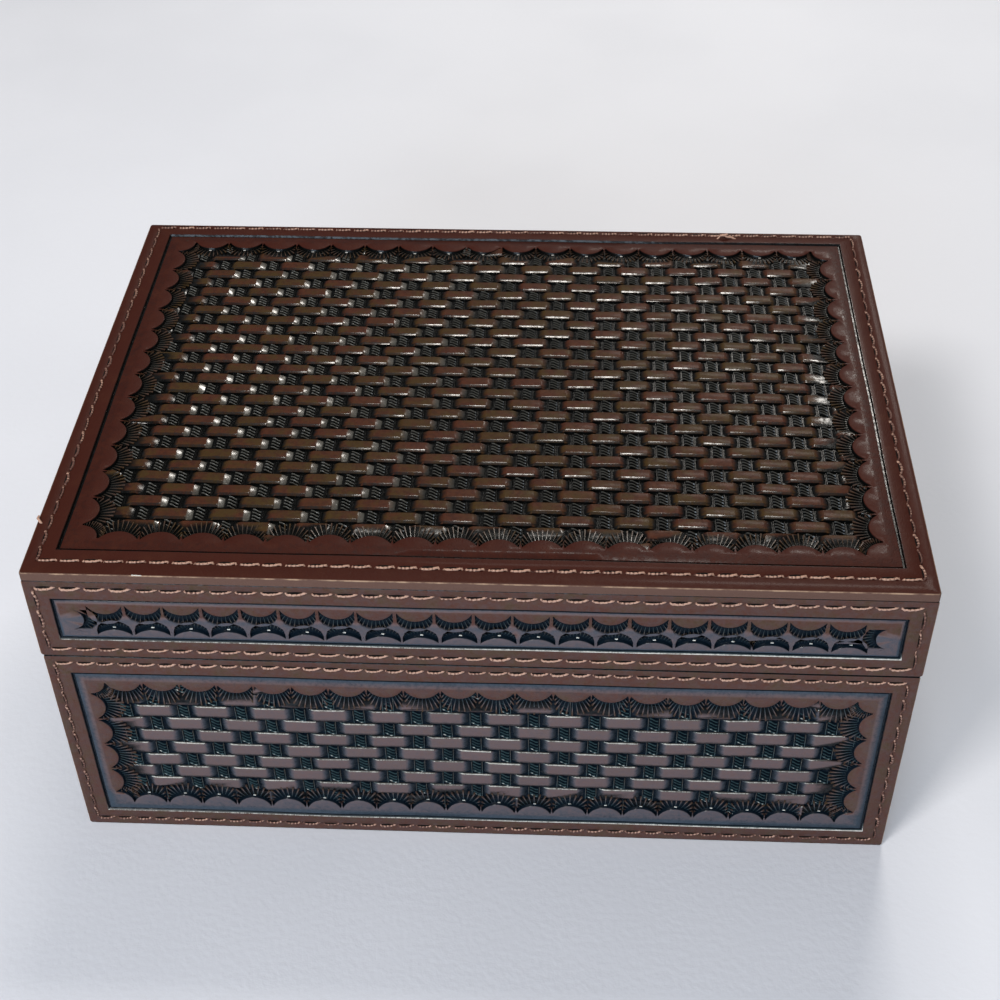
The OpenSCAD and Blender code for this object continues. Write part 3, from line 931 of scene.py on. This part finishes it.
def finish_piece(name, shape, material, panel, node, angle):
    """Turns the bmesh into a piece that stands for a node of the frame and rides with its body."""
    mesh = mesh_of(name, shape)
    mesh.shade_smooth()
    mesh.set_sharp_from_angle(angle=math.radians(angle))
    mesh.materials.append(material)
    piece = show(name, mesh)
    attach(piece, panel.body)
    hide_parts(node)


class Wire:
    """A shader socket that takes part in sums as a number does."""

    def __init__(self, tree, socket):
        self.tree = tree
        self.socket = socket

    def maths(self, operation, *values):
        node = self.tree.nodes.new("ShaderNodeMath")
        node.operation = operation
        for slot, value in zip(node.inputs, values):
            connect(self.tree, slot, value)
        return Wire(self.tree, node.outputs[0])

    def __add__(self, other):
        return self.maths("ADD", self, other)

    def __sub__(self, other):
        return self.maths("SUBTRACT", self, other)

    def __rsub__(self, other):
        return self.maths("SUBTRACT", other, self)

    def __mul__(self, other):
        return self.maths("MULTIPLY", self, other)

    __radd__ = __add__
    __rmul__ = __mul__


def connect(tree, slot, value):
    """Links a wire to a node's socket, or sets a plain value or colour on it."""
    if isinstance(value, Wire):
        tree.links.new(value.socket, slot)
    elif isinstance(value, tuple) and len(value) == 3 and slot.type == "RGBA":
        slot.default_value = (*value, 1)
    else:
        slot.default_value = value


class Finish:
    """A material in the making."""

    def __init__(self, name):
        self.material = bpy.data.materials.new(name)
        self.material.use_nodes = True
        self.tree = self.material.node_tree
        self.tree.nodes.clear()
        self.place = self.node("ShaderNodeTexCoord", {}, {}, "Object")

    def node(self, kind, settings, sockets, output=0):
        """A node with its settings, then its sockets, and one of its outputs."""
        node = self.tree.nodes.new(kind)
        for setting, value in settings.items():
            setattr(node, setting, value)
        for slot, value in sockets.items():
            connect(self.tree, node.inputs[slot], value)
        return Wire(self.tree, node.outputs[output]) if node.outputs else node

    def noise(self, scale, detail, roughness=0.5, vector=None):
        sockets = {"Vector": vector or self.place, "Scale": scale, "Detail": detail}
        return self.node("ShaderNodeTexNoise", {}, {**sockets, "Roughness": roughness})

    def cells(self, scale):
        """Distance to the nearest of many scattered points, as between a hide's pores."""
        return self.node("ShaderNodeTexVoronoi", {}, {"Vector": self.place, "Scale": scale})

    def stretched(self, scale):
        return self.node("ShaderNodeMapping", {}, {"Vector": self.place, "Scale": scale})

    def attribute(self, name):
        return self.node("ShaderNodeAttribute", {"attribute_name": name}, {}, "Fac")

    def step(self, value, low, high):
        """0 below low, 1 above high, and smooth between."""
        sockets = {"Value": value, "From Min": low, "From Max": high}
        return self.node("ShaderNodeMapRange", {"interpolation_type": "SMOOTHSTEP"}, sockets)

    def mix(self, first, second, factor):
        sockets = {0: factor, 6: first, 7: second}
        return self.node("ShaderNodeMix", {"data_type": "RGBA"}, sockets, 2)

    def bump(self, height, distance):
        return self.node("ShaderNodeBump", {}, {"Height": height, "Distance": distance})

    def surface(self, **sockets):
        """Ends the material in a Principled shader; Base_Color names the socket Base Color."""
        sockets = {name.replace("_", " "): value for name, value in sockets.items()}
        shader = self.node("ShaderNodeBsdfPrincipled", {}, sockets)
        self.node("ShaderNodeOutputMaterial", {}, {"Surface": shader})
        return self.material


def tooled_leather():
    """Dyed and oiled leather: mottled brown on the crowns and near black where it is pressed, with
    a painted cool reflection on the walls and painted highlights.
    """
    finish = Finish("tooled_leather")
    blotch = finish.noise(170, 4, 0.6)
    speck = finish.noise(800, 3, 0.6)
    grain = finish.noise(2600, 3, 0.6)
    dye = finish.attribute("dye")
    painted_reflection = finish.attribute("painted_reflection")
    polish_and_highlight_level = finish.attribute("polish_and_highlight")
    wear = finish.attribute("wear")
    tint = finish.attribute("tint")
    wet = finish.attribute("wet")
    polish_and_highlight = finish.step(polish_and_highlight_level + (blotch - 0.5) * 0.8, 0.3, 1.1)
    depth = finish.step(dye + (speck - 0.5) * 0.5 + (blotch - 0.5) * 0.3, 0.1, 0.75)
    cool_reflection = finish.step(painted_reflection, 0.2, 0.9)

    # The dyed hide, warmer or darker in blotches, then a painted cool reflection towards the lines
    # on the walls: mauve, then slate
    colour = finish.mix(OCHRE, OXBLOOD, finish.step(tint + (blotch - 0.5) * 2.4, 0.1, 0.9))
    colour = finish.mix(colour, UMBER, finish.step(speck + blotch * 0.5, 0.6, 1.0) * 0.7)
    colour = finish.mix(colour, CORDOVAN, finish.step(tint + (blotch - 0.5) * 0.8, 1.1, 1.8))
    colour = finish.mix(colour, MAUVE_REFLECTION, finish.step(painted_reflection + (speck - 0.5) * 0.2, 0.05, 0.45) * 0.8)
    colour = finish.mix(colour, SLATE_REFLECTION, finish.step(painted_reflection + (speck - 0.5) * 0.3, 0.25, 0.85) * 0.9)

    # Worn edges, black stamped places (navy on the walls, a painted reflection), crests partly
    # worn and partly painted highlight, and painted highlights
    colour = finish.mix(colour, RAW_EDGE, finish.step(wear, 0.2, 0.5) * 0.8)
    colour = finish.mix(colour, finish.mix(INK, NAVY_REFLECTION, cool_reflection), depth)
    colour = finish.mix(colour, finish.mix(POLISH_AND_HIGHLIGHT, TEAL_REFLECTION, cool_reflection), polish_and_highlight * 0.65)
    colour = finish.mix(colour, TAN, finish.step(wear + (blotch - 0.5) * 1.6, 0.75, 1.2) * 0.6)
    # Painted highlights, and the pale scratch of the nick
    painted_highlight_and_nick = finish.step(polish_and_highlight_level + (speck - 0.5) * 1.2 + (grain - 0.5) * 1.2, 1.15, 1.75)
    colour = finish.mix(colour, PAINTED_HIGHLIGHT_AND_NICK, painted_highlight_and_nick * 0.85)

    # Wax lies unevenly, and none reaches the deepest places
    wax = finish.step(speck, 0.4, 0.6)
    coat = depth * (0.06 + wax * 0.34) + polish_and_highlight * 0.3 + wet * (0.4 + wax * 0.6)
    bare = finish.step(dye, 0.95, 1.2)
    height = grain * 0.5 + finish.step(finish.cells(1500), 0.05, 0.5) * 0.5 + speck * 0.9
    return finish.surface(
        Base_Color=colour,
        Roughness=0.5 + (speck - 0.5) * 0.25 - depth * 0.2,
        Specular_IOR_Level=0.05,
        Coat_Weight=coat * (1 - bare) + 0.02,
        Coat_Roughness=0.16,
        Normal=finish.bump(height, 0.00009),
    )


def plain_leather():
    """The sole of the box: undyed side down, rubbed by the table."""
    finish = Finish("plain_leather")
    cloud = finish.noise(30, 3)
    speck = finish.noise(700, 3, 0.6)
    colour = finish.mix(UMBER, OXBLOOD, finish.step(cloud, 0.35, 0.65))
    colour = finish.mix(colour, TAN, finish.step(speck + cloud, 1.05, 1.3) * 0.4)
    return finish.surface(
        Base_Color=colour,
        Roughness=0.7 + (speck - 0.5) * 0.2,
        Normal=finish.bump(speck + finish.cells(1300) * 0.6, 0.0001),
    )


def waxed_thread():
    """Pale thread, soiled, banded darker between its turns as painted shade, and the dark slits
    under it, with painted shadow.
    """
    finish = Finish("waxed_thread")
    soil_and_shade = finish.attribute("soil_and_shade")
    lint = finish.noise(2600, 2)
    dirt_and_shade = finish.step(soil_and_shade + (finish.noise(420, 3) - 0.5) * 0.9, 0.15, 0.85)
    slit_and_shadow = finish.step(soil_and_shade, 1.3, 1.6)
    colour = finish.mix(finish.mix(THREAD_PALE, THREAD_SOILED_AND_SHADED, dirt_and_shade), SLIT_AND_SHADOW, slit_and_shadow)
    return finish.surface(
        Base_Color=colour,
        Roughness=0.4 + dirt_and_shade * 0.2 + slit_and_shadow * 0.4,
        Specular_IOR_Level=0.2,
        Normal=finish.bump(lint, 0.00012),
    )


def carcass_wood():
    """Birch board, dyed dark at the rims as the leather is."""
    finish = Finish("carcass_wood")
    stretch = finish.stretched((14, 60, 260))
    figure = finish.noise(1.0, 5, 0.6, stretch)
    pores = finish.noise(3.2, 3, 0.7, stretch)
    colour = finish.mix(BIRCH, BIRCH_DARK, finish.step(figure, 0.38, 0.66))
    colour = finish.mix(colour, BIRCH_DARK, finish.step(pores, 0.6, 0.75) * 0.6)
    height = finish.node("ShaderNodeSeparateXYZ", {}, {"Vector": finish.place}, "Z")
    height = height + (figure - 0.5) * 0.002
    dyed = finish.step(height, *(RIM_Z + reach for reach in RIM_DYE_FROM))
    dyed = dyed * (1 - finish.step(height, *(RIM_Z + reach for reach in RIM_DYE_TO)))
    colour = finish.mix(colour, UMBER, dyed * 0.9)
    return finish.surface(
        Base_Color=colour,
        Roughness=0.55 + (figure - 0.5) * 0.2,
        Normal=finish.bump(pores + figure, 0.00015),
    )


def suede_lining():
    """Brown suede, lighter and darker as the nap lies."""
    finish = Finish("suede_lining")
    nap = finish.noise(60, 4, 0.6)
    fibre = finish.noise(1900, 3, 0.7)
    colour = finish.mix(SUEDE_DARK, SUEDE_LIGHT, finish.step(nap + (fibre - 0.5) * 0.6, 0.3, 0.7))
    return finish.surface(
        Base_Color=colour,
        Roughness=0.95,
        Sheen_Weight=0.6,
        Sheen_Roughness=0.4,
        Normal=finish.bump(fibre + nap * 0.4, 0.0004),
    )


def hinge_brass():
    """Brass brushed along the hinge, and tarnished in patches."""
    finish = Finish("hinge_brass")
    brushed = finish.noise(1.0, 2, 0.5, finish.stretched((30, 900, 900)))
    tarnish = finish.step(finish.noise(240, 4, 0.6), 0.45, 0.7)
    return finish.surface(
        Base_Color=finish.mix(BRASS, BRASS_DULL, tarnish),
        Metallic=1.0,
        Roughness=0.3 + brushed * 0.1 + tarnish * 0.2,
        Normal=finish.bump(brushed, 0.00004),
    )


def pale_floor():
    """Plain pale paper, faintly clouded."""
    finish = Finish("pale_floor")
    return finish.surface(
        Base_Color=finish.mix(FLOOR, FLOOR_SHADE, finish.step(finish.noise(6, 3), 0.4, 0.65)),
        Roughness=0.75,
        Normal=finish.bump(finish.noise(400, 3), 0.0001),
    )


def build_box():
    """Tools and sews every panel, the top first and then the walls."""
    top = Plan(stitch=3.8, line=8.2, field=(13.3, 13.3), shells=11.8, reach=4.7, stitches=6.35,
               edge_r=0.45, soil_and_shade=(0.15, 0.6, 0.45, 0.6), painted_reflection=0.06, shift=1.8,
               bars=16.67, rows=5.381, start=(11.64, 0.75), lean=0.0156, knots=KNOTS, nick=NICK)
    base = Plan(stitch=3, line=7, field=(11.2, 11.2), shells=10.8, reach=5.6, stitches=6.1,
                edge_r=0.4, soil_and_shade=(0.5, 0.65, 0.08, 0.65), low_rise=3.8,
                bars=17.567, rows=5.589, start=(-0.97, -1.28), lean=0.0046)
    lid = Plan(stitch=3, line=7, field=(12, 9.2), shells=10.8, reach=3.8, stitches=7.1,
               edge_r=0.4, soil_and_shade=(0.08, 0.65, 0.08, 0.65), low_rise=2.2, slide=0.8,
               skip=(5.2, 1.7))
    panels = [Panel("lid_top_leather", (0, 0, 1), (0, 1, 0), "lid", top)]
    walls = {"front": (0, -1, 0), "right": (1, 0, 0), "back": (0, 1, 0), "left": (-1, 0, 0)}
    for side, outward in walls.items():
        for body, plan in (("base", base), ("lid", lid)):
            panels.append(Panel(f"{body}_{side}_leather", outward, (0, 0, 1), body, plan))
    dies = {"bar": bar_die(), "ridge": ridge_die(), "strand": strand_die()}
    stitches = [stitch_die() for _ in range(4)]
    slit_and_shadow = slit_and_shadow_die()
    leather = tooled_leather()
    thread = waxed_thread()
    for panel in panels:
        name = panel.node.replace("_leather", "")
        shape = tool_panel(panel, dies)
        finish_piece(f"{name}_tooling", shape, leather, panel, panel.node, 50)
        shape = sew_panel(panel, stitches, slit_and_shadow)
        finish_piece(f"{name}_thread", shape, thread, panel, f"{name}_stitching",
                     70)
    for die in (*dies.values(), *stitches, slit_and_shadow):
        bpy.data.meshes.remove(die.mesh)


def dress_frame():
    """Gives each solid that stays on show its own material."""
    brass = hinge_brass()
    finishes = {
        "board": carcass_wood(), "lining": suede_lining(), "cover": plain_leather(),
        "leaf": brass, "pin": brass, "screws": brass,
    }
    for node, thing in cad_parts.items():
        finish = finishes.get(node.rsplit("_", 1)[-1])
        if finish:
            for slot in thing.material_slots:
                slot.material = finish


def hang_lamp(name, place, aim, width, height, power, colour):
    light = bpy.data.lights.new(name, "AREA")
    light.shape = "RECTANGLE"
    light.size = width
    light.size_y = height
    light.energy = power
    light.color = colour
    thing = show(name, light)
    thing.location = place
    thing.rotation_euler = (Vector(aim) - Vector(place)).to_track_quat("-Z", "Y").to_euler()


def light_box():
    """The floor, the soft light of the room, and the lamps."""
    floor = bmesh.new()
    bmesh.ops.create_grid(floor, x_segments=8, y_segments=8, size=FLOOR_HALF)
    mesh = mesh_of("floor", floor)
    mesh.materials.append(pale_floor())
    show("floor", mesh)
    world = bpy.data.worlds.new("room")
    world.use_nodes = True
    room = world.node_tree.nodes["Background"]
    room.inputs["Color"].default_value = ROOM
    room.inputs["Strength"].default_value = ROOM_LIGHT
    bpy.context.scene.world = world
    for name, light in LAMPS.items():
        hang_lamp(name, *light)


def stand_camera():
    """The photograph's own view of the box."""
    lens = bpy.data.cameras.new("camera")
    lens.sensor_width = SENSOR_W
    lens.lens = SENSOR_W * CAMERA_F / PICTURE_W
    lens.clip_start = 0.01
    turn = Matrix.Rotation(CAMERA_YAW, 3, "Z") @ Matrix.Rotation(CAMERA_ROLL, 3, "Y")
    turn = (turn @ Matrix.Rotation(CAMERA_PITCH, 3, "X")).transposed()
    right, forward, up = (turn.col[i] for i in range(3))
    axes = Matrix((right, up, -forward)).transposed().to_4x4()
    camera = show("camera", lens)
    camera.matrix_world = Matrix.Translation(CAMERA_PLACE) @ axes
    bpy.context.scene.camera = camera


build_box()
dress_frame()
light_box()
stand_camera()
bpy.context.scene.view_settings.view_transform = "Standard"
